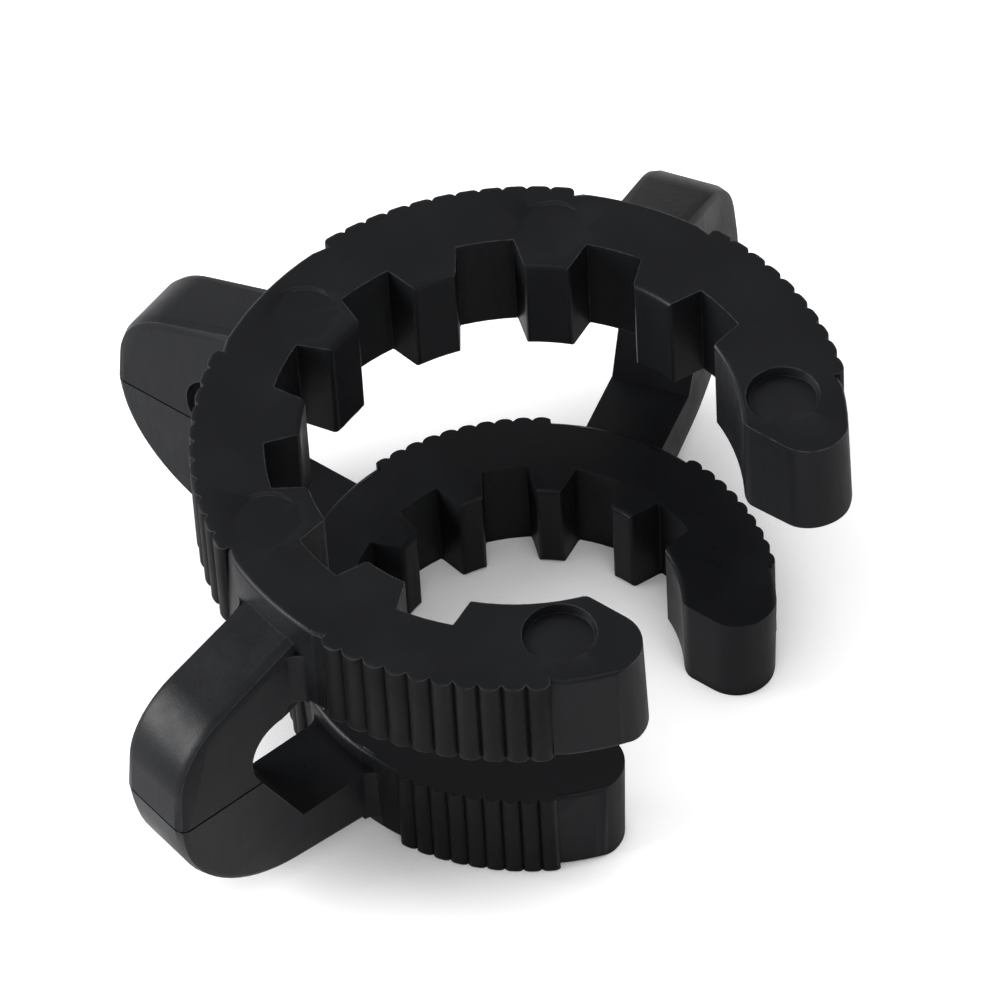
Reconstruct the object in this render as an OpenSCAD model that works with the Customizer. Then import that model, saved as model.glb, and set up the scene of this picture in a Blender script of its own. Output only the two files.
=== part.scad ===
// Clip for a conical ground glass joint, moulded in one piece.
// Two open spring rings, a wide one for the socket rim and a narrow one for
// the tube, are held one above the other by three bow arms.
// The joint's axis is Z, the mouths open towards +X, and z = 0 is the
// underside of the tube ring.

/* [Socket ring] */
// Outer diameter of the upper ring at its top edge, beside the ribs
socket_d = 25.4; // [24.8:0.1:27]
// Height of the upper ring
socket_h = 4.4; // [3.6:0.1:6]
// Diameter across the tooth tips that grip the socket rim
socket_grip_d = 17.2; // [16.4:0.1:18]
// Diameter at the feet of the teeth
socket_root_d = 20.0; // [19.2:0.1:21]
// Width of the mouth between the ring's two ends
socket_mouth_w = 10.4; // [9:0.1:11.6]
// Width of a tooth at its tip
socket_tip_w = 1.75; // [1.2:0.05:2.2]
// Width of a tooth at its foot
socket_foot_w = 3.0; // [2.4:0.05:3.6]

/* [Tube ring] */
// Outer diameter of the lower ring at its bottom edge, beside the ribs
tube_d = 19.3; // [18.8:0.1:21]
// Height of the lower ring
tube_h = 4.4; // [3.4:0.1:6]
// Diameter across the tooth tips that grip the tube
tube_grip_d = 12.0; // [11.4:0.1:12.8]
// Diameter at the feet of the teeth
tube_root_d = 14.7; // [13.9:0.1:15.5]
// Width of the mouth between the ring's two ends
tube_mouth_w = 7.1; // [6:0.1:8.2]
// Width of a tooth at its tip
tube_tip_w = 0.95; // [0.7:0.05:1.3]
// Width of a tooth at its foot
tube_foot_w = 2.0; // [1.6:0.05:2.6]

/* [Rings] */
// Clear height between the two rings, where the joint's rims sit
ring_gap = 6.3; // [5:0.1:9]
// Angle from one tooth to the next
tooth_pitch = 30; // [26:1:32]
// Number of separate teeth on each ring
tooth_count = 7; // [5:2:7]
// Rounding of a tooth's tip corners
tip_round = 0.28; // [0.1:0.02:0.34]
// Rounding in the corner at a tooth's foot
foot_round = 0.3; // [0.1:0.05:0.4]
// Rounding of a ring end's outer corner
end_round = 1.55; // [0.8:0.05:2]
// Rounding of a ring end's inner corner
lead_in_round = 0.8; // [0.4:0.05:1.2]
// Rounding of the rings' upper and lower edges
edge_round = 0.22; // [0.1:0.02:0.4]
// Draft of the rings' outer walls, which widen towards the gap between them
ring_draft = 1.5; // [0.5:0.25:3]

/* [Grip ribs] */
// Height of the socket ring's ribs above its wall
socket_rib_rise = 0.24; // [0.2:0.01:0.3]
// Height of the tube ring's ribs above its wall
tube_rib_rise = 0.32; // [0.25:0.01:0.36]
// Depth of the grooves between the socket ring's ribs
socket_groove_depth = 0.17; // [0.1:0.01:0.22]
// Depth of the grooves between the tube ring's ribs
tube_groove_depth = 0.19; // [0.1:0.01:0.22]
// Number of ribs on each side of the socket ring's mouth
socket_front_ribs = 10; // [6:1:10]
// Angle from the mouth's middle to the first of them
socket_front_start = 50.4; // [49:0.2:51]
// Angle from one of them to the next
socket_front_pitch = 4.18; // [4:0.02:4.2]
// Number of ribs on each side of the socket ring's back arm
socket_back_ribs = 11; // [7:1:11]
// Angle from the back arm's middle to the first of them
socket_back_start = 17.8; // [17:0.2:18.4]
// Angle from one of them to the next
socket_back_pitch = 4.3; // [4.1:0.02:4.34]
// Number of ribs on each side of the tube ring's mouth
tube_front_ribs = 9; // [6:1:9]
// Angle from the mouth's middle to the first of them
tube_front_start = 49.6; // [48:0.2:50.4]
// Angle from one of them to the next
tube_front_pitch = 4.3; // [4.1:0.02:4.36]
// Number of ribs on each side of the tube ring's back arm
tube_back_ribs = 10; // [6:1:10]
// Angle from the back arm's middle to the first of them
tube_back_start = 15.4; // [15:0.2:16.4]
// Angle from one of them to the next
tube_back_pitch = 4.5; // [4.2:0.02:4.54]

/* [Bow arms] */
// Angle between the back arm and each side arm
arm_spread = 75.6; // [68:0.2:78]
// Width of an arm at the parting line
arm_w = 3.05; // [2.4:0.05:4]
// Distance that the two side arms stand out from the socket ring
side_reach = 6.4; // [5.6:0.1:8]
// Distance that the back arm stands out from the socket ring
back_reach = 6.7; // [5.6:0.1:8]
// Distance from the middle of the clip's height down to the parting line
parting_drop = 0.2; // [0:0.1:0.8]
// Width of the seam along the parting line
seam_w = 0.1; // [0.06:0.02:0.2]
// Depth of the seam
seam_depth = 0.05; // [0.02:0.01:0.1]
// Distance from the socket ring's top down to the root of an arm's crown
crown_drop = 1.3; // [0.8:0.05:1.8]
// Fall of the crown away from the ring
crown_slope = 22; // [12:1:28]
// Height of the root of an arm's sole above the tube ring's underside
sole_lift = 0.6; // [0.3:0.05:1.2]
// Rise of the sole away from the ring
sole_slope = 5.5; // [0:0.5:12]
// Rounding of the shoulder between the crown and the outer wall
shoulder_round = 3.8; // [1:0.1:4.4]
// Rounding of the heel between the outer wall and the sole
heel_round = 6.2; // [3:0.1:6.4]
// Slope of an arm's outer wall above and below the parting line
wall_draft = 5; // [2:0.5:8]
// Draft of an arm's side faces above and below the parting line
side_draft = 1.8; // [0.5:0.1:3]
// Rounding of the arms' side edges
arm_edge = 0.4; // [0.2:0.05:0.7]
// Rounding in the corners between the arms' sides and the rings
root_round = 0.6; // [0.3:0.05:0.9]
// Thickness of the bow at its outermost point
arm_wall = 3.7; // [2.6:0.1:4.2]
// Distance that the window's roof lies below the socket ring
window_roof_drop = 0.55; // [0.2:0.05:1]
// Distance that the window's floor lies below the tube ring's top
window_floor_drop = 0.75; // [0.2:0.05:1.2]
// Rounding of the window's outer end
window_nose = 1.7; // [1:0.1:2]
// Lean of the window's lower outer wall from the vertical
window_lean = 28; // [15:1:40]

/* [Ejector marks] */
// Diameter of the round pin marks in the socket ring's top face
mark_d = 2.9; // [2:0.1:3.2]
// Depth of the marks above the back arm and between the arms
mark_depth = 0.08; // [0.04:0.02:0.3]
// Depth of the marks beside the mouth
pad_mark_depth = 0.3; // [0.04:0.02:0.6]
// Distance of the marks beside the mouth from the joint's axis
pad_mark_r = 10.3; // [10.1:0.1:10.7]

/* [Hidden] */
$fn = 24;
ring_fn = 120;
edge_fn = 16;
// How far joined pieces run into one another
overlap = 0.3;
// Length that reaches past everything
far = 40;
// Thickness of the thin slices that an arm's block is stretched over
slice = 0.01;
// How far a corner piece runs past the walls that its circle touches
corner_reach = 1.2;
// Space between the ribs' crowns and the wall that rounds off their ends
rib_clear = 0.03;
socket_z = tube_h + ring_gap;
body_h = socket_z + socket_h;
parting_z = body_h / 2 - parting_drop;
socket_r = socket_d / 2;
tube_r = tube_d / 2;
// Direction of the back arm, opposite the mouths
back = 180;
// Direction and outermost point of each arm
arms = [
    [back, socket_r + back_reach],
    [back - arm_spread, socket_r + side_reach],
    [back + arm_spread, socket_r + side_reach]
];
arm_root_x = (tube_r + tube_root_d / 2) / 2;
arm_socket_root_x = (socket_r + socket_root_d / 2) / 2;
pad_angle = back - tooth_pitch * (tooth_count + 1) / 2;
mark_r = (socket_r + socket_grip_d / 2) / 2;
pad_mark_angle = (pad_angle + asin(socket_mouth_w / 2 / pad_mark_r)) / 2;
// Direction, distance from the axis and depth of each pin mark
marks = [
    [back, mark_r, mark_depth],
    [back - 2 * tooth_pitch, mark_r, mark_depth],
    [back + 2 * tooth_pitch, mark_r, mark_depth],
    [pad_mark_angle, pad_mark_r, pad_mark_depth],
    [-pad_mark_angle, pad_mark_r, pad_mark_depth]
];

function polar(r, a) = [r * cos(a), r * sin(a)];

// Points along an arc, from angle a0 to angle a1
function arc(centre, r, a0, a1, steps) =
    [for (i = [0 : steps]) centre + polar(r, a0 + (a1 - a0) * i / steps)];

function mirrored(points) = [for (i = [len(points) - 1 : -1 : 0]) [points[i][0], -points[i][1]]];

// Where the line through p at angle a meets the line through q at angle b
function meet(p, a, q, b) =
    p + cross(q - p, polar(1, b)) / cross(polar(1, a), polar(1, b)) * polar(1, a);

// Rounded corner of a path that turns clockwise, from heading a to heading b
function rounded(corner, a, b, r, steps) =
    arc(corner - polar(r * tan((a - b) / 2), a) + polar(r, a - 90), r, a + 90, b + 90, steps);

// Radius of a ring's outer wall at its wide edge
function wide_r(outer_r, h) = outer_r + h * tan(ring_draft);

// One tooth that points from the ring's wall towards the axis, along -X
module tooth(grip_r, root_r, tip_w, foot_w) {
    lean = (foot_w - tip_w) / 2 / (root_r - grip_r);
    tilt = atan(lean);
    tip_x = sqrt(grip_r * grip_r - tip_w * tip_w / 4);
    tip = [tip_x + tip_round, tip_w / 2 + lean * tip_round - tip_round / cos(tilt)];
    foot_y = foot_w / 2 - lean * foot_round + foot_round / cos(tilt);
    side = concat(
        arc(tip, tip_round, 180, 90 + tilt, 4),
        arc([root_r - foot_round, foot_y], foot_round, 270 + tilt, 360, 3),
        [[root_r + overlap, foot_y]]
    );
    polygon(concat(side, mirrored(side)));
}

// Grooves between a row of round ribs, the first of them at the given angle
module grooves(crown, h, depth, first, pitch, count) {
    bed = crown - depth;
    reach = bed * cos(pitch / 2);
    rib_r = (crown * crown + bed * bed - 2 * crown * reach) / (crown - reach) / 2;
    last = first + (count - 1) * pitch;
    linear_extrude(3 * h, center = true) difference() {
        polygon(concat(
            arc([0, 0], crown - rib_r, first - pitch / 2, last + pitch / 2, count),
            arc([0, 0], crown + overlap, last + pitch / 2, first - pitch / 2, count)
        ));
        for (i = [0 : count - 1])
            rotate(first + i * pitch) translate([crown - rib_r, 0]) circle(rib_r);
    }
}

// Sharp corner around a circle at the origin that touches its two walls in directions a0 and a1
module corner(r, a0, a1) {
    difference() {
        scale(corner_reach)
            polygon([[0, 0], polar(r, a0), polar(r / cos((a1 - a0) / 2), (a0 + a1) / 2), polar(r, a1)]);
        circle(r);
    }
}

// Wall of a ring, widest at z = 0, with its edges rounded
module ring_wall(outer_r, root_r, h) {
    e = edge_round;
    top = [outer_r + e * tan(ring_draft) - e / cos(ring_draft), h - e];
    bottom = [wide_r(outer_r, h) - e * tan(ring_draft) - e / cos(ring_draft), e];
    rotate_extrude($fn = ring_fn) {
        polygon([
            [root_r, 0], [bottom[0], 0], bottom + polar(e, ring_draft),
            top + polar(e, ring_draft), [top[0], h], [root_r, h]
        ]);
        for (centre = [top, bottom]) translate(centre) circle(e, $fn = edge_fn);
    }
}

// Space that the teeth and the end pads may fill, with its inner edges rounded
module grip_envelope(grip_r, root_r, h) {
    e = edge_round;
    outer = root_r + overlap;
    rotate_extrude($fn = ring_fn) {
        polygon([[grip_r, e], [grip_r + e, 0], [outer, 0], [outer, h], [grip_r + e, h], [grip_r, h - e]]);
        for (z = [e, h - e]) translate([grip_r + e, z]) circle(e, $fn = edge_fn);
    }
}

// Cut that rounds the outer corner of one end of a ring and follows its draft
module end_cut(outer_r, h, mouth_w) {
    y = mouth_w / 2 + end_round;
    x = sqrt(pow(outer_r - end_round, 2) - y * y);
    wide_x = sqrt(pow(wide_r(outer_r, h) - end_round, 2) - y * y);
    translate([wide_x, y, 0]) rotate([0, -atan((wide_x - x) / h), 0]) translate([0, 0, -h])
        linear_extrude(3 * h) corner(end_round, -90, atan2(y, x));
}

// Cut that rounds the inner corner of one end of a ring
module lead_in_cut(grip_r, h, mouth_w) {
    y = mouth_w / 2 + lead_in_round;
    x = sqrt(pow(grip_r + lead_in_round, 2) - y * y);
    translate([x, y, -h]) linear_extrude(3 * h) corner(lead_in_round, 180 + atan2(y, x), 270);
}

// Space of a row of ribs outside a ring's wall, the first of them at the given angle
module rib_space(foot_r, h, first, pitch, count) {
    a0 = first - pitch / 2;
    a1 = first + (count - 1 / 2) * pitch;
    linear_extrude(3 * h, center = true)
        polygon([polar(foot_r, a0), polar(far, a0), polar(far, a1), polar(foot_r, a1)]);
}

// One ring, widest at z = 0, with rows of ribs: [angle of the first rib, pitch, count]
module ring(outer_r, root_r, grip_r, mouth_w, tip_w, foot_w, h, rib_rise, groove_depth, rib_rows) {
    crown = outer_r + rib_rise;
    difference() {
        union() {
            ring_wall(outer_r, root_r, h);
            intersection() {
                ring_wall(crown + rib_clear, root_r, h);
                for (side = [0, 1], row = rib_rows) mirror([0, side, 0])
                    rib_space(outer_r - rib_rise, h, row[0], row[1], row[2]);
            }
            intersection() {
                union() {
                    for (i = [-(tooth_count + 1) / 2 : (tooth_count + 1) / 2])
                        rotate(back + i * tooth_pitch) translate([0, 0, -overlap])
                            linear_extrude(h + 2 * overlap) tooth(grip_r, root_r, tip_w, foot_w);
                    translate([0, 0, -overlap]) linear_extrude(h + 2 * overlap)
                        polygon([[0, 0], polar(far, pad_angle), [2 * far, 0], polar(far, -pad_angle)]);
                }
                grip_envelope(grip_r, root_r, h);
            }
        }
        translate([0, -mouth_w / 2, -h]) cube([far, mouth_w, 3 * h]);
        for (side = [0, 1]) mirror([0, side, 0]) {
            end_cut(outer_r, h, mouth_w);
            lead_in_cut(grip_r, h, mouth_w);
            for (row = rib_rows) grooves(crown, h, groove_depth, row[0], row[1], row[2]);
        }
    }
}

module socket_ring() {
    difference() {
        ring(socket_r, socket_root_d / 2, socket_grip_d / 2, socket_mouth_w, socket_tip_w, socket_foot_w,
            socket_h, socket_rib_rise, socket_groove_depth, [
            [socket_front_start, socket_front_pitch, socket_front_ribs],
            [back - socket_back_start, -socket_back_pitch, socket_back_ribs]
        ]);
        for (mark = marks)
            rotate(mark[0]) translate([mark[1], 0, socket_h - mark[2]]) cylinder(d = mark_d, h = socket_h);
    }
}

module tube_ring() {
    translate([0, 0, tube_h]) mirror([0, 0, 1])
        ring(tube_r, tube_root_d / 2, tube_grip_d / 2, tube_mouth_w, tube_tip_w, tube_foot_w,
            tube_h, tube_rib_rise, tube_groove_depth, [
            [tube_front_start, tube_front_pitch, tube_front_ribs],
            [back - tube_back_start, -tube_back_pitch, tube_back_ribs]
        ]);
}

// Side view of an arm's upper half, drawn in by the given inset, x outwards and y up
function upper_outline(arm_x, inset) = let (
    crown = [socket_r, body_h - crown_drop] + polar(inset, -90 - crown_slope),
    wall = [arm_x - inset, parting_z],
    shoulder = meet(crown, -crown_slope, wall, wall_draft - 90))
    concat(
        [[arm_root_x, parting_z], meet(crown, -crown_slope, [arm_root_x, 0], 90)],
        rounded(shoulder, -crown_slope, wall_draft - 90, shoulder_round - inset, 14),
        [wall]
    );

// Side view of an arm's lower half
function lower_outline(arm_x, inset) = let (
    sole = [tube_r, sole_lift] + polar(inset, 90 + sole_slope),
    wall = [arm_x - inset, parting_z],
    heel = meet(wall, -90 - wall_draft, sole, sole_slope - 180))
    concat(
        [[arm_root_x, parting_z], wall],
        rounded(heel, -90 - wall_draft, sole_slope - 180, heel_round - inset, 16),
        [meet(sole, sole_slope, [arm_root_x, 0], 90)]
    );

// Solid block of an arm, with drafted sides and rounded side edges
module arm_block(arm_x) {
    hull() for (side = [0, 1], upper = [0, 1], turn = [0, 45, 90]) {
        inset = arm_edge * (1 - sin(turn));
        outline = upper == 1 ? upper_outline(arm_x, inset) : lower_outline(arm_x, inset);
        mirror([0, side, 0])
            translate([0, arm_w / 2, parting_z]) rotate([upper == 1 ? side_draft : -side_draft, 0, 0])
            translate([0, -arm_edge * (1 - cos(turn)), -parting_z]) rotate([90, 0, 0])
            linear_extrude(slice) polygon(outline);
    }
}

// Side view of the space inside an arm, x outwards from the axis and y up
module window_plan(arm_x) {
    roof = socket_z - window_roof_drop;
    sill = tube_h - window_floor_drop;
    nose_r = min(window_nose, (roof - sill) / 2);
    nose = [arm_x - arm_wall - nose_r, roof - nose_r];
    tangent = nose + polar(nose_r, -window_lean);
    translate(nose) circle(nose_r);
    polygon([
        [0, far], [arm_socket_root_x, far], [arm_socket_root_x, roof], [nose[0], roof], nose, tangent,
        [tangent[0] - (tangent[1] - sill) * tan(window_lean), sill], [0, sill]
    ]);
}

// Seam that runs round an arm at the parting line
module seam(arm_x) {
    x = arm_x - seam_depth;
    y = arm_w / 2 - seam_depth;
    r = arm_edge - seam_depth;
    bed = concat([[0, y]], arc([x - r, y - r], r, 90, 0, 4));
    edge = [[0, -arm_w], [arm_x + overlap, -arm_w], [arm_x + overlap, arm_w], [0, arm_w]];
    translate([0, 0, parting_z - seam_w / 2]) linear_extrude(seam_w)
        polygon(concat(edge, bed, mirrored(bed)));
}

// Centre of the fillet between an arm's side and a ring's wall of radius r at height z
function root_centre(r, z) = let (
    y = arm_w / 2 - abs(z - parting_z) * tan(side_draft) + root_round)
    [sqrt(pow(r + root_round, 2) - y * y), y];

// Fillets between an arm's sides and a ring's wall, which has radius r0 at z0 and r1 at z1
module root_fillets(r0, z0, r1, z1) {
    low = root_centre(r0, z0);
    high = root_centre(r1, z1);
    lean = (high - low) / (z1 - z0);
    for (side = [0, 1]) mirror([0, side, 0])
        translate([low[0], low[1], z0]) rotate([-atan(lean[1]), atan(lean[0]), 0])
        linear_extrude(z1 - z0) corner(root_round, 180 + atan2(low[1], low[0]), 270);
}

// One bow arm, standing out along +X
module arm(arm_x) {
    crown_z = body_h - crown_drop - 2 * root_round * tan(crown_slope);
    sole_z = sole_lift + 2 * root_round * tan(sole_slope);
    difference() {
        arm_block(arm_x);
        translate([0, arm_w, 0]) rotate([90, 0, 0]) linear_extrude(2 * arm_w) window_plan(arm_x);
        seam(arm_x);
    }
    root_fillets(wide_r(socket_r, socket_h), socket_z, wide_r(socket_r, body_h - crown_z), crown_z);
    root_fillets(wide_r(tube_r, sole_z), sole_z, wide_r(tube_r, tube_h), tube_h);
}

module clip() {
    color([0.11, 0.11, 0.12]) union() {
        translate([0, 0, socket_z]) socket_ring();
        tube_ring();
        for (place = arms) rotate(place[0]) arm(place[1]);
    }
}

clip();
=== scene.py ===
"""Ground glass joint clip, dressed as black satin moulded plastic on a white table."""
import math

import bmesh
import bpy
from mathutils import Matrix, Vector


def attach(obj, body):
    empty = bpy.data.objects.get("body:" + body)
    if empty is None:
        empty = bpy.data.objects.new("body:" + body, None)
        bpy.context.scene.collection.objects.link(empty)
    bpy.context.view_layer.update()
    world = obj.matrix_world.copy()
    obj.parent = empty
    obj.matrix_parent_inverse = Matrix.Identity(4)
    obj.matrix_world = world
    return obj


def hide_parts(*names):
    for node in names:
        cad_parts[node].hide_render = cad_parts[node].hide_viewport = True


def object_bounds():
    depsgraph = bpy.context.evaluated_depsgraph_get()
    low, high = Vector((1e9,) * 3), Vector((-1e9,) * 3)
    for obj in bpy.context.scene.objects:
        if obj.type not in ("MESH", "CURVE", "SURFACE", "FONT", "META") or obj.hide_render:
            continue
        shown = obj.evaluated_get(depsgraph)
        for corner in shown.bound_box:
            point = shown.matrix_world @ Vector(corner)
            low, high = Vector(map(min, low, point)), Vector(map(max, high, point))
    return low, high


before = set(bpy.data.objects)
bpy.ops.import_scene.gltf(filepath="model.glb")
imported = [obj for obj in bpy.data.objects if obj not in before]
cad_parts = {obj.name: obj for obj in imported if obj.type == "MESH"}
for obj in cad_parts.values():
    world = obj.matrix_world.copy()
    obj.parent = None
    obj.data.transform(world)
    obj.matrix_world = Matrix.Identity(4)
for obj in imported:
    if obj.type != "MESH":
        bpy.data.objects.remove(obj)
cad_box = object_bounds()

MM = 0.001

# Wide and narrow ring, as large as in the CAD model: the wide ring's wall is measured at its
# top and the narrow ring's at its foot, and both widen by the taper away from there
SOCKET_R = 12.7 * MM
SOCKET_H = 4.4 * MM
TUBE_R = 9.65 * MM
TUBE_H = 4.4 * MM
BODY_H = 15.1 * MM
SOCKET_UNDER = BODY_H - SOCKET_H
GAP_MIDDLE = (TUBE_H + SOCKET_UNDER) / 2
TAPER = math.tan(math.radians(1.5))
EDGE = 0.22 * MM
# Arms: half their width, the sill of their windows, and the seam at the parting line
ARM_HALF = 3.05 * MM / 2
SILL = 3.65 * MM
PARTING = 7.35 * MM
# Directions, in degrees from the mouth, between which the ribs stand
RIB_ROWS = ((48.3, 92.0), (117.0, 164.5))

# Root fillets of the narrow ring: how far out from the axis and to the side of an arm's middle
# they reach, the step in which they end, and the turns, in degrees, at which the ring's
# rounded upper edge is cut through them
ROOT_START = 9.0 * MM
ROOT_REACH = TUBE_R + 1.3 * MM
ROOT_SIDE = ARM_HALF + 0.9 * MM
ROOT_STEP = 0.02 * MM
ROUNDING_TURNS = (0, 20, 40, 60, 80)

# Direction of each arm and the angle it is turned by, in degrees, and how far its bow is drawn
# in at BOW_R from the axis
ARMS = ((255.6, 1.0, 0.16 * MM), (180.0, 0.15, 0.0), (104.4, 0.5, 0.1 * MM))
BOW_R = SOCKET_R + 5.0 * MM
# How much wider an arm gets on each side, and how far off its middle this is full
ARM_SPREAD = 0.26 * MM
SPREAD_FULL = ARM_HALF - 0.2 * MM
# Beside an arm's middle, points move with it up to the first of these, and not past the second
CARRY = (ARM_HALF + 0.7 * MM, ARM_HALF + 1.3 * MM)
# Behind the ring's wall, they stay at the first of these depths, and move fully at the second
HOLD = (0.04 * MM, 0.01 * MM)

# Underside of the wide ring: how far its inner edge hangs, between which distances from the
# axis and which heights this fades out, and a boss under the middle tooth: how far it is from
# the axis, between which distances from its own middle it fades out, and how far it drops
RING_HANG = 0.28 * MM
HANG_R = (9.5 * MM, 12.2 * MM)
HANG_H = (SOCKET_UNDER + 0.1 * MM, SOCKET_UNDER + 0.6 * MM)
UNDERSIDE_R = SOCKET_R + 0.5 * MM
BOSS_AT = 8.8 * MM
BOSS_R = (0.5 * MM, 1.7 * MM)
BOSS_DROP = 0.4 * MM

# Grooves between the wide ring's ribs: how far their floors sink, between which distances from
# the axis this fades out, and the distances and the height between which the ribs' points lie
GROOVE_SINK = 0.13 * MM
GROOVE_R = (SOCKET_R - 0.05 * MM, SOCKET_R + 0.2 * MM)
RIBS_R = (SOCKET_R - 0.3 * MM, SOCKET_R + 0.4 * MM)
RIBS_BOTTOM = SOCKET_UNDER - 0.5 * MM

# Ejector pin marks: their radius, the heights between which their beds lie, and the direction
# of the side on which they are deepest. Of each: its distance from the axis in mm and its
# direction, the depth of its bed, how far the bed tilts, and the width of its sloped rim
MARK_R = 1.45 * MM
MARK_H = (BODY_H - 0.5 * MM, BODY_H - 0.02 * MM)
MARK_DEEP_SIDE = math.radians(130.0)
MARK_PLACES = (
    ((10.650, 180.000), 0.06 * MM, 0.03 * MM, 0.13 * MM),
    ((10.650, 120.000), 0.06 * MM, 0.03 * MM, 0.13 * MM),
    ((10.650, 240.000), 0.06 * MM, 0.03 * MM, 0.13 * MM),
    ((10.300, 45.161), 0.21 * MM, 0.19 * MM, 0.12 * MM),
    ((10.300, -45.161), 0.21 * MM, 0.19 * MM, 0.12 * MM),
)
MARKS = [
    ((r * MM * math.cos(math.radians(a)), r * MM * math.sin(math.radians(a))), *sizes)
    for (r, a), *sizes in MARK_PLACES
]

# Points nearer than this are one point, and edges shorter than this are none
WELD = 0.0002 * MM
SLIVER = 0.0001 * MM
# Play with which a point still counts as on a face: fine, plain and loose
FINE = 0.002 * MM
PLAY = 0.01 * MM
LOOSE = 0.05 * MM
# Smooth shading stops at edges sharper than this
CREASE = math.radians(32)

# Black plastic: its own colour, the same with dust on it, a darker colour painted as shade in
# nooks and on the ribs, and a paler one painted as highlight along edges
INK = (0.0074, 0.0078, 0.0090, 1.0)
INK_DUSTY = (0.0120, 0.0128, 0.0146, 1.0)
INK_PAINTED_SHADE = (0.0016, 0.0017, 0.0019, 1.0)
INK_PAINTED_HIGHLIGHT = (0.074, 0.078, 0.082, 1.0)
# Its gloss: refraction, strength of the reflection, roughness, and more roughness on the ribs
REFRACTION = 1.49
SHEEN = 0.155
SATIN = 0.36
RIB_DULL = 0.2
PATCH_GLOSS = (SATIN - 0.06, SATIN + 0.08)
STREAK_GLOSS = (-0.04, 0.04)
# Its surface: size of the grain and of the patches, how fine the streaks are beside the grain
# and how they are drawn out along Z, and the relief that grain and streaks share
GRAIN = 0.11 * MM
PATCH = 3.2 * MM
STREAK_FINENESS = 0.25
STREAK_DRAWN = (1.0, 1.0, 0.18)
RELIEF = 0.02 * MM
RELIEF_STRENGTH = 0.5
GRAIN_SHARE = 0.5
STREAK_SHARE = 0.7
# How far the painted shade reaches from an inner corner, how wide the painted edge highlight is,
# and how far off the seam it stays
NOOK_REACH = 0.5 * MM
HIGHLIGHT_WIDTH = 0.1 * MM
SEAM_CLEAR = 0.18 * MM
# Height through which the painted edge highlight grows from the shaded narrow ring to the wide
# one
HIGHLIGHT_H = (4.5 * MM, 5.5 * MM)
# Height between the rings where the ribs' wall changes over, and how thick the ribs' skin is
RIB_CHANGE_H = (7.0 * MM, 7.1 * MM)
RIB_SKIN = 0.12 * MM
# Where each mask starts and where it is full: dust and gloss on the patches, gloss and the
# painted edge highlight on the streaks, the unshaded colour on the openness, edges on the
# likeness of the soft and the true normal, and flat faces on the normal's height
DUST_AT = (0.45, 0.8)
PATCHES_AT = (0.35, 0.65)
STREAKS_AT = (0.3, 0.7)
UNEVEN_AT = (0.35, 0.6)
OPEN_AT = (0.35, 0.95)
EDGE_AT = (0.94, 0.76)
FLAT_AT = (0.3, 0.8)
# Most dust, and the least that is left of the unshaded colour on the ribs, where shade is
# painted, and of the painted edge highlight between the streaks and low down
DUST_MOST = 0.5
RIBS_LEAST = 0.1
UNEVEN_LEAST = 0.25
LOW_LEAST = 0.15

# Table and room: openness between which the painted shadow on the table fades out, and how
# strongly it glows for the camera there. The room's level changes a little with the height
# looked at
WHITE = (1.0, 1.0, 1.0, 1.0)
PAPER = (0.76, 0.76, 0.77, 1.0)
TABLE_HALF = 3.0
TABLE_GAP = 0.02 * MM
SHADOW_REACH = 16.0 * MM
SHADOW_AT = (0.40, 0.66)
TABLE_GLOW = (0.10, 0.68)
SKY_AT = (0.15, 0.65)
SKY_LEVEL = (0.52, 0.50)

# Camera: lens and sensor in mm, nearest distance and place in metres, and its right and up
LENS = 314.09
SENSOR = 36.0
NEAR = 0.01
CAMERA_AT = (0.13958982, -0.171475, 0.27133415)
CAMERA_RIGHT = Vector((0.80065818, 0.5978325, -0.03927816))
CAMERA_UP = Vector((-0.43597467, 0.62634525, 0.64623348))


def node(tree, kind, inputs=(), **settings):
    """A new node. Its settings come first, then each input is linked or set."""
    new = tree.nodes.new(kind)
    for name, value in settings.items():
        setattr(new, name, value)
    for name, value in dict(inputs).items():
        if isinstance(value, bpy.types.NodeSocket):
            tree.links.new(value, new.inputs[name])
        else:
            new.inputs[name].default_value = value
    return new


def new_material(name):
    """An empty material and its node tree."""
    mat = bpy.data.materials.new(name)
    mat.use_nodes = True
    mat.node_tree.nodes.clear()
    return mat, mat.node_tree


def group(name, inputs, outputs):
    """An empty shader node group, with its inputs given as (kind, name, value)."""
    tree = bpy.data.node_groups.new(name, "ShaderNodeTree")
    for kind, label, value in inputs:
        socket = tree.interface.new_socket(label, in_out="INPUT", socket_type=kind)
        if value is not None:
            socket.default_value = value
    for label in outputs:
        tree.interface.new_socket(label, in_out="OUTPUT", socket_type="NodeSocketFloat")
    return tree, node(tree, "NodeGroupInput").outputs


def remap(tree, value, source, target=(0.0, 1.0)):
    """The value moved from one range to another, and held within it."""
    ranges = {
        "Value": value,
        "From Min": source[0],
        "From Max": source[1],
        "To Min": target[0],
        "To Max": target[1],
    }
    return node(tree, "ShaderNodeMapRange", ranges).outputs["Result"]


def maths(tree, operation, *values):
    """A maths operation on one value, or on several from left to right."""
    result, *others = values
    if not others:
        return node(tree, "ShaderNodeMath", {0: result}, operation=operation).outputs[0]
    for value in others:
        pair = {0: result, 1: value}
        result = node(tree, "ShaderNodeMath", pair, operation=operation).outputs[0]
    return result


def blend_colours(tree, factor, a, b):
    inputs = {"Factor": factor, "A": a, "B": b}
    return node(tree, "ShaderNodeMix", inputs, data_type="RGBA").outputs["Result"]


def axes(tree, vector):
    """The x, y and z of a vector."""
    split = node(tree, "ShaderNodeSeparateXYZ", {"Vector": vector})
    return [split.outputs[axis] for axis in "XYZ"]


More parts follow.
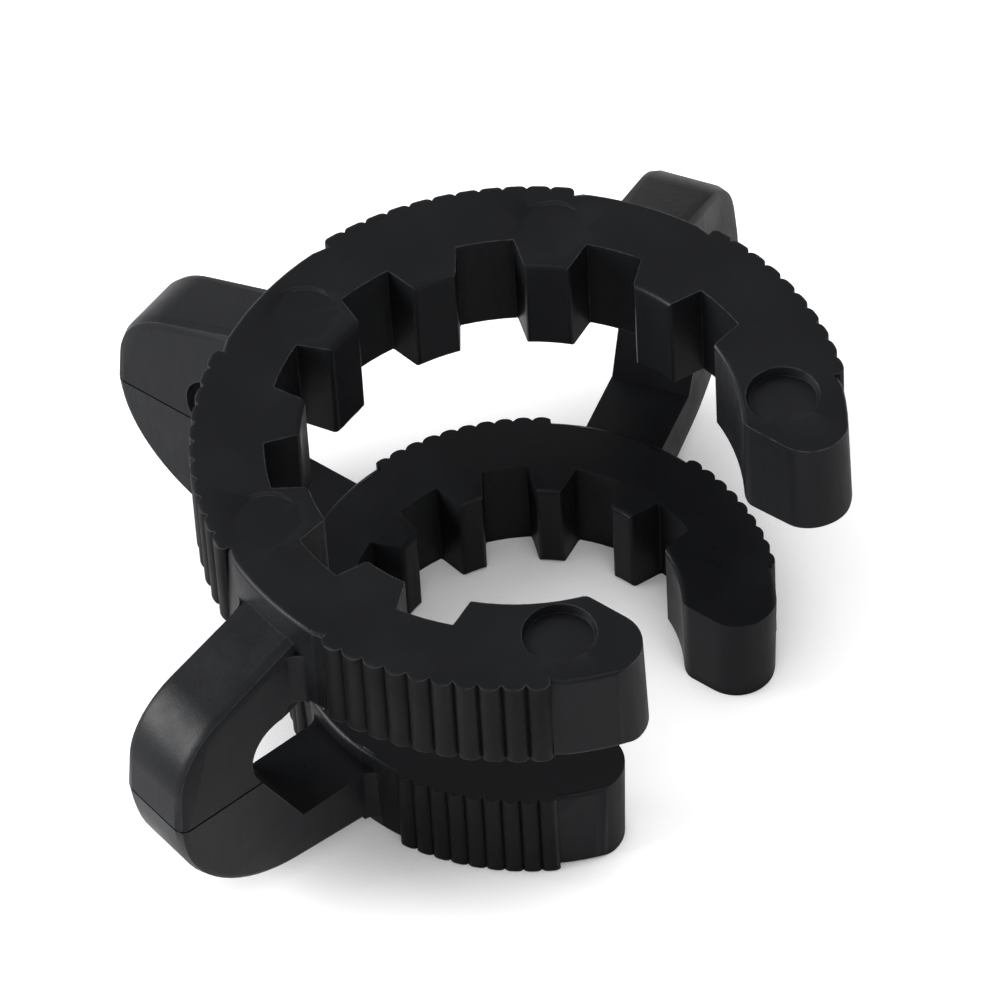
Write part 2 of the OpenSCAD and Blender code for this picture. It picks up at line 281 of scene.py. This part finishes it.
def moulded_surface():
    """Group: mould grain, flow streaks and dusty patches of a moulded plastic surface."""
    tree, start = group(
        "moulded surface",
        [
            ("NodeSocketVector", "Vector", None),
            ("NodeSocketFloat", "Grain size", 0.1 * MM),
            ("NodeSocketFloat", "Patch size", 3.0 * MM),
        ],
        ("Grain", "Streaks", "Patches"),
    )
    place = start["Vector"]
    fine = maths(tree, "DIVIDE", 1.0, start["Grain size"])
    broad = maths(tree, "DIVIDE", 1.0, start["Patch size"])

    grain = {"Vector": place, "Scale": fine, "Detail": 2.0}
    patches = {"Vector": place, "Scale": broad, "Detail": 3.0}
    drawn = node(tree, "ShaderNodeMapping", {"Vector": place, "Scale": STREAK_DRAWN})
    streaks = {
        "Vector": drawn.outputs["Vector"],
        "Scale": maths(tree, "MULTIPLY", fine, STREAK_FINENESS),
        "Detail": 4.0,
        "Roughness": 0.65,
    }
    noises = {"Grain": grain, "Streaks": streaks, "Patches": patches}
    for name, values in noises.items():
        noises[name] = node(tree, "ShaderNodeTexNoise", values).outputs["Fac"]
    node(tree, "NodeGroupOutput", noises)
    return tree


def painted_highlight_edges():
    """Group: mask that is 1 on the mesh's true edges and fades out beside them."""
    tree, start = group("painted highlight edges", [("NodeSocketFloat", "Width", 0.1 * MM)], ("Edge",))
    soft = node(tree, "ShaderNodeBevel", {"Radius": start["Width"]}, samples=4)
    true = node(tree, "ShaderNodeNewGeometry")
    normals = {0: soft.outputs["Normal"], 1: true.outputs["Normal"]}
    likeness = node(tree, "ShaderNodeVectorMath", normals, operation="DOT_PRODUCT")
    edge = remap(tree, likeness.outputs["Value"], EDGE_AT)
    node(tree, "NodeGroupOutput", {"Edge": edge})
    return tree


def grip_bands():
    """Group: mask that is 1 on the rows of ribs round both rings, from the place on the clip."""
    tree, start = group("grip bands", [("NodeSocketVector", "Vector", None)], ("Band",))
    x, y, z = axes(tree, start["Vector"])
    way = maths(tree, "ABSOLUTE", maths(tree, "ARCTAN2", y, x))
    squares = [maths(tree, "MULTIPLY", side, side) for side in (x, y)]
    reach = maths(tree, "SQRT", maths(tree, "ADD", *squares))
    wall = remap(tree, z, RIB_CHANGE_H, (TUBE_R, SOCKET_R))
    outer = maths(tree, "GREATER_THAN", maths(tree, "SUBTRACT", reach, wall), -RIB_SKIN)

    facing = node(tree, "ShaderNodeNewGeometry").outputs["Normal"]
    tilt = maths(tree, "ABSOLUTE", axes(tree, facing)[2])
    upright = remap(tree, tilt, FLAT_AT, (1.0, 0.0))

    rows = []
    for low, high in RIB_ROWS:
        above = maths(tree, "GREATER_THAN", way, math.radians(low))
        below = maths(tree, "LESS_THAN", way, math.radians(high))
        rows.append(maths(tree, "MULTIPLY", above, below))
    band = maths(tree, "MULTIPLY", outer, maths(tree, "ADD", *rows), upright)
    node(tree, "NodeGroupOutput", {"Band": band})
    return tree


def satin_black(surface, edge_highlight, rib_bands):
    """The plastic: rougher, with painted shade, in its nooks and on its ribs, and with a painted
    highlight along its edges.
    """
    mat, tree = new_material("satin_black_plastic")
    place = node(tree, "ShaderNodeTexCoord").outputs["Object"]
    sizes = {"Vector": place, "Grain size": GRAIN, "Patch size": PATCH}
    skin = node(tree, "ShaderNodeGroup", sizes, node_tree=surface).outputs

    dust = remap(tree, skin["Patches"], DUST_AT, (0.0, DUST_MOST))
    tone = blend_colours(tree, dust, INK, INK_DUSTY)

    # Shade is painted into grooves and inner corners as a darker colour, and onto the grip ribs
    # too; both also get more roughness
    nook = node(tree, "ShaderNodeAmbientOcclusion", {"Distance": NOOK_REACH}, samples=5)
    openness = remap(tree, nook.outputs["AO"], OPEN_AT)
    bands = node(tree, "ShaderNodeGroup", {"Vector": place}, node_tree=rib_bands)
    off_ribs = remap(tree, bands.outputs["Band"], (0.0, 1.0), (1.0, RIBS_LEAST))
    plain = maths(tree, "MULTIPLY", openness, off_ribs)
    shade = blend_colours(tree, plain, INK_PAINTED_SHADE, tone)

    # A paler colour is painted on true edges as a highlight, but not beside the seam or in
    # shaded nooks, and hardly on the narrow ring, which lies in the wide one's shade
    edges = node(tree, "ShaderNodeGroup", {"Width": HIGHLIGHT_WIDTH}, node_tree=edge_highlight)
    uneven = remap(tree, skin["Streaks"], UNEVEN_AT, (UNEVEN_LEAST, 1.0))
    height = axes(tree, place)[2]
    highlight_by_height = remap(tree, height, HIGHLIGHT_H, (LOW_LEAST, 1.0))
    from_seam = maths(tree, "ABSOLUTE", maths(tree, "SUBTRACT", height, PARTING))
    off_seam = maths(tree, "GREATER_THAN", from_seam, SEAM_CLEAR)
    painted_edge_light = maths(tree, "MULTIPLY", edges.outputs["Edge"], uneven, openness, highlight_by_height, off_seam)

    patchy = remap(tree, skin["Patches"], PATCHES_AT, PATCH_GLOSS)
    streaky = remap(tree, skin["Streaks"], STREAKS_AT, STREAK_GLOSS)
    dull = remap(tree, plain, (0.0, 1.0), (RIB_DULL, 0.0))

    grain = maths(tree, "MULTIPLY", skin["Grain"], GRAIN_SHARE)
    streaks = maths(tree, "MULTIPLY", skin["Streaks"], STREAK_SHARE)
    relief = {
        "Strength": RELIEF_STRENGTH,
        "Distance": RELIEF,
        "Height": maths(tree, "ADD", grain, streaks),
    }
    finish = {
        "Base Color": blend_colours(tree, painted_edge_light, shade, INK_PAINTED_HIGHLIGHT),
        "Roughness": maths(tree, "ADD", patchy, streaky, dull),
        "IOR": REFRACTION,
        "Specular IOR Level": SHEEN,
        "Normal": node(tree, "ShaderNodeBump", relief).outputs["Normal"],
    }
    shader = node(tree, "ShaderNodeBsdfPrincipled", finish)
    node(tree, "ShaderNodeOutputMaterial", {"Surface": shader.outputs["BSDF"]})
    return mat


def ease(value, low, high):
    """0 up to the low value, 1 from the high one on, and smooth between them."""
    t = min(max((value - low) / (high - low), 0.0), 1.0)
    return t * t * (3.0 - 2.0 * t)


def arm_place(point, azimuth):
    """Where a point lies beside an arm: out along it, and across it."""
    a = math.radians(azimuth)
    out = point.x * math.cos(a) + point.y * math.sin(a)
    across = point.y * math.cos(a) - point.x * math.sin(a)
    return out, across


def by_a_root(point, from_axis):
    """Whether a point lies past this distance along an arm, and beside it within its fillets."""
    places = [arm_place(point, azimuth) for azimuth, _, _ in ARMS]
    return any(out > from_axis and abs(across) < ROOT_SIDE for out, across in places)


def tube_wall(z):
    """Radius of the narrow ring's outer wall at a height, with its rounded upper edge."""
    rise = max(z - (TUBE_H - EDGE), 0.0)
    return TUBE_R + z * TAPER - EDGE + math.sqrt(max(EDGE**2 - rise**2, 0.0))


def socket_wall(z):
    """Radius of the wide ring's outer wall at a height."""
    return SOCKET_R + (BODY_H - z) * TAPER


def cut_roots(bm, level):
    """Cut the faces at the narrow ring's root fillets through at a height."""
    near = [
        face
        for face in bm.faces
        if min(v.co.z for v in face.verts) < level < max(v.co.z for v in face.verts)
        and all(math.hypot(v.co.x, v.co.y) < ROOT_REACH for v in face.verts)
        and by_a_root(face.calc_center_median(), ROOT_START)
    ]
    edges = {edge for face in near for edge in face.edges}
    verts = {vert for face in near for vert in face.verts}
    bmesh.ops.bisect_plane(
        bm,
        geom=[*near, *edges, *verts],
        dist=SLIVER,
        plane_co=(0.0, 0.0, level),
        plane_no=(0.0, 0.0, 1.0),
    )


def trim_fillets(bm):
    """End the narrow ring's root fillets level with the sill of the arms' windows."""
    turns = [math.radians(turn) for turn in ROUNDING_TURNS]
    rounding = [TUBE_H - EDGE * (1.0 - math.sin(turn)) for turn in turns]
    for level in (SILL, SILL + ROOT_STEP, *rounding):
        cut_roots(bm, level)
    for vert in bm.verts:
        x, y, z = vert.co
        reach = math.hypot(x, y)
        if not SILL + PLAY < z < TUBE_H + LOOSE:
            continue
        wall = tube_wall(z)
        if wall + FINE < reach < ROOT_REACH and by_a_root(vert.co, 0.0):
            vert.co.x *= wall / reach
            vert.co.y *= wall / reach


def settle_arms(bm):
    """Widen the arms, and turn and draw in each by its own small amount."""
    for vert in bm.verts:
        x, y, z = vert.co
        reach = math.hypot(x, y)
        if SILL + PLAY < z < TUBE_H + 2 * LOOSE and reach < ROOT_REACH:
            continue
        if z > GAP_MIDDLE:
            wall = socket_wall(max(z, SOCKET_UNDER))
        else:
            wall = tube_wall(min(z, TUBE_H - EDGE))
        free = ease(reach, wall - HOLD[0], wall - HOLD[1])
        for azimuth, turn, draw in ARMS:
            out, across = arm_place(vert.co, azimuth)
            if out < 0.0 or abs(across) > CARRY[1] or free == 0.0:
                continue
            free *= 1.0 - ease(abs(across), *CARRY)
            spread = ARM_SPREAD * min(max(across / SPREAD_FULL, -1.0), 1.0)
            swing = free * (spread / reach + math.radians(turn))
            out -= draw * ease(out, SOCKET_R, BOW_R)
            a = math.radians(azimuth) + swing
            vert.co.x = out * math.cos(a) - across * math.sin(a)
            vert.co.y = out * math.sin(a) + across * math.cos(a)
            break


def hang_underside(bm):
    """Let the wide ring's lower inner edge hang slightly, with a boss under its middle tooth."""
    for vert in bm.verts:
        x, y, z = vert.co
        reach = math.hypot(x, y)
        if SOCKET_UNDER - LOOSE < z < HANG_H[1] and reach < UNDERSIDE_R:
            inner = 1.0 - ease(reach, *HANG_R)
            boss = 1.0 - ease(math.hypot(x + BOSS_AT, y), *BOSS_R)
            low = 1.0 - ease(z, *HANG_H)
            vert.co.z -= (RING_HANG * inner + BOSS_DROP * boss) * low


def sink_grooves(bm):
    """Sink the grooves between the wide ring's ribs."""
    for vert in bm.verts:
        x, y, z = vert.co
        reach = math.hypot(x, y)
        way = abs(math.degrees(math.atan2(y, x)))
        in_rows = any(low < way < high for low, high in RIB_ROWS)
        if in_rows and z > RIBS_BOTTOM and RIBS_R[0] < reach < RIBS_R[1]:
            sink = GROOVE_SINK * (1.0 - ease(reach, *GROOVE_R))
            vert.co.x *= 1.0 - sink / reach
            vert.co.y *= 1.0 - sink / reach


def settle_marks(bm):
    """Tilt the beds of the pin marks, and slope their rims."""
    for vert in bm.verts:
        x, y, z = vert.co
        if not MARK_H[0] < z < MARK_H[1]:
            continue
        for (mark_x, mark_y), depth, tilt, slope in MARKS:
            from_x, from_y = x - mark_x, y - mark_y
            wide = math.hypot(from_x, from_y)
            if wide > MARK_R + LOOSE:
                continue
            if wide > MARK_R - LOOSE:
                shrink = 1.0 - slope / wide
                from_x *= shrink
                from_y *= shrink
            deeper = from_x * math.cos(MARK_DEEP_SIDE) + from_y * math.sin(MARK_DEEP_SIDE)
            bed = BODY_H - depth - tilt * (deeper / MARK_R)
            vert.co = (mark_x + from_x, mark_y + from_y, bed)


def join_points(bm):
    """Join points that lie in one place, and drop what has no size."""
    bmesh.ops.remove_doubles(bm, verts=bm.verts, dist=WELD)
    bmesh.ops.dissolve_degenerate(bm, edges=bm.edges, dist=SLIVER)


def piece_of(bm, name, mat):
    """The object that a finished bmesh makes."""
    mesh = bpy.data.meshes.new(name)
    bm.to_mesh(mesh)
    bm.free()
    mesh.materials.append(mat)
    piece = bpy.data.objects.new(name, mesh)
    bpy.context.collection.objects.link(piece)
    return piece


def clip_skin(solid, mat):
    """A copy of the clip with its loose triangles joined, shaded smooth between true edges."""
    bm = bmesh.new()
    bm.from_mesh(solid.data)
    join_points(bm)
    for step in (trim_fillets, settle_arms, hang_underside, sink_grooves, settle_marks):
        step(bm)
    join_points(bm)
    for face in bm.faces:
        face.smooth = True
        face.material_index = 0
    for edge in bm.edges:
        edge.smooth = edge.is_manifold and edge.calc_face_angle(0.0) < CREASE
    piece = piece_of(bm, "clip_moulding", mat)
    even = piece.modifiers.new("even_normals", "WEIGHTED_NORMAL")
    even.mode = "FACE_AREA_WITH_ANGLE"
    even.weight = 50
    even.keep_sharp = True
    return piece


def white_paper():
    """Matt paper that glows white to the camera, with a shadow painted where something stands
    close by.
    """
    mat, tree = new_material("white_table")
    paper = node(tree, "ShaderNodeBsdfDiffuse", {"Color": PAPER})
    near = node(tree, "ShaderNodeAmbientOcclusion", {"Distance": SHADOW_REACH}, samples=5)
    # The camera glow fades where the clip stands close by, which paints its shadow on the table
    clear = remap(tree, near.outputs["AO"], SHADOW_AT, TABLE_GLOW)
    seen = node(tree, "ShaderNodeLightPath").outputs["Is Camera Ray"]
    strength = maths(tree, "MULTIPLY", seen, clear)
    glow = node(tree, "ShaderNodeEmission", {"Color": WHITE, "Strength": strength})
    shaders = {0: paper.outputs["BSDF"], 1: glow.outputs["Emission"]}
    both = node(tree, "ShaderNodeAddShader", shaders)
    node(tree, "ShaderNodeOutputMaterial", {"Surface": both.outputs["Shader"]})
    return mat


def white_table():
    """The table top, a hair below the clip's foot."""
    bm = bmesh.new()
    bmesh.ops.create_grid(bm, x_segments=1, y_segments=1, size=TABLE_HALF)
    table = piece_of(bm, "table_top", white_paper())
    table.location.z = cad_box[0][2] - TABLE_GAP


def white_room():
    """A soft white room, which is plain white to the camera."""
    world = bpy.data.worlds.new("white_room")
    bpy.context.scene.world = world
    world.use_nodes = True
    tree = world.node_tree
    tree.nodes.clear()
    way = node(tree, "ShaderNodeTexCoord").outputs["Generated"]
    level = remap(tree, axes(tree, way)[2], SKY_AT, SKY_LEVEL)
    seen = node(tree, "ShaderNodeLightPath").outputs["Is Camera Ray"]
    levels = {"Factor": seen, "A": level, "B": 1.0}
    strength = node(tree, "ShaderNodeMix", levels, data_type="FLOAT").outputs["Result"]
    sky = node(tree, "ShaderNodeBackground", {"Color": WHITE, "Strength": strength})
    node(tree, "ShaderNodeOutputWorld", {"Surface": sky.outputs["Background"]})


def soft_box(name, azimuth, elevation, distance, size, watts):
    """A square area lamp that looks at the foot of the clip's axis."""
    a, e = math.radians(azimuth), math.radians(elevation)
    way = Vector((math.cos(e) * math.cos(a), math.cos(e) * math.sin(a), math.sin(e)))
    light = bpy.data.lights.new(name, "AREA")
    light.shape = "SQUARE"
    light.size = size
    light.energy = watts
    lamp = bpy.data.objects.new(name, light)
    lamp.location = way * distance
    lamp.rotation_euler = way.to_track_quat("Z", "Y").to_euler()
    bpy.context.collection.objects.link(lamp)


def camera():
    lens = bpy.data.cameras.new("camera")
    lens.sensor_width = SENSOR
    lens.lens = LENS
    lens.clip_start = NEAR
    viewer = bpy.data.objects.new("camera", lens)
    back = CAMERA_RIGHT.cross(CAMERA_UP)
    turn = Matrix((CAMERA_RIGHT, CAMERA_UP, back)).transposed().to_4x4()
    viewer.matrix_world = Matrix.Translation(CAMERA_AT) @ turn
    bpy.context.collection.objects.link(viewer)
    bpy.context.scene.camera = viewer


camera()
plastic = satin_black(moulded_surface(), painted_highlight_edges(), grip_bands())
clip = clip_skin(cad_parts["clip"], plastic)
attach(clip, "root")
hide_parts("clip")

white_table()
white_room()
soft_box("key_front", azimuth=-35, elevation=52, distance=0.75, size=0.5, watts=1.0)
soft_box("rim_left", azimuth=220, elevation=22, distance=0.8, size=0.5, watts=9.6)

bpy.context.scene.view_settings.view_transform = "Standard"
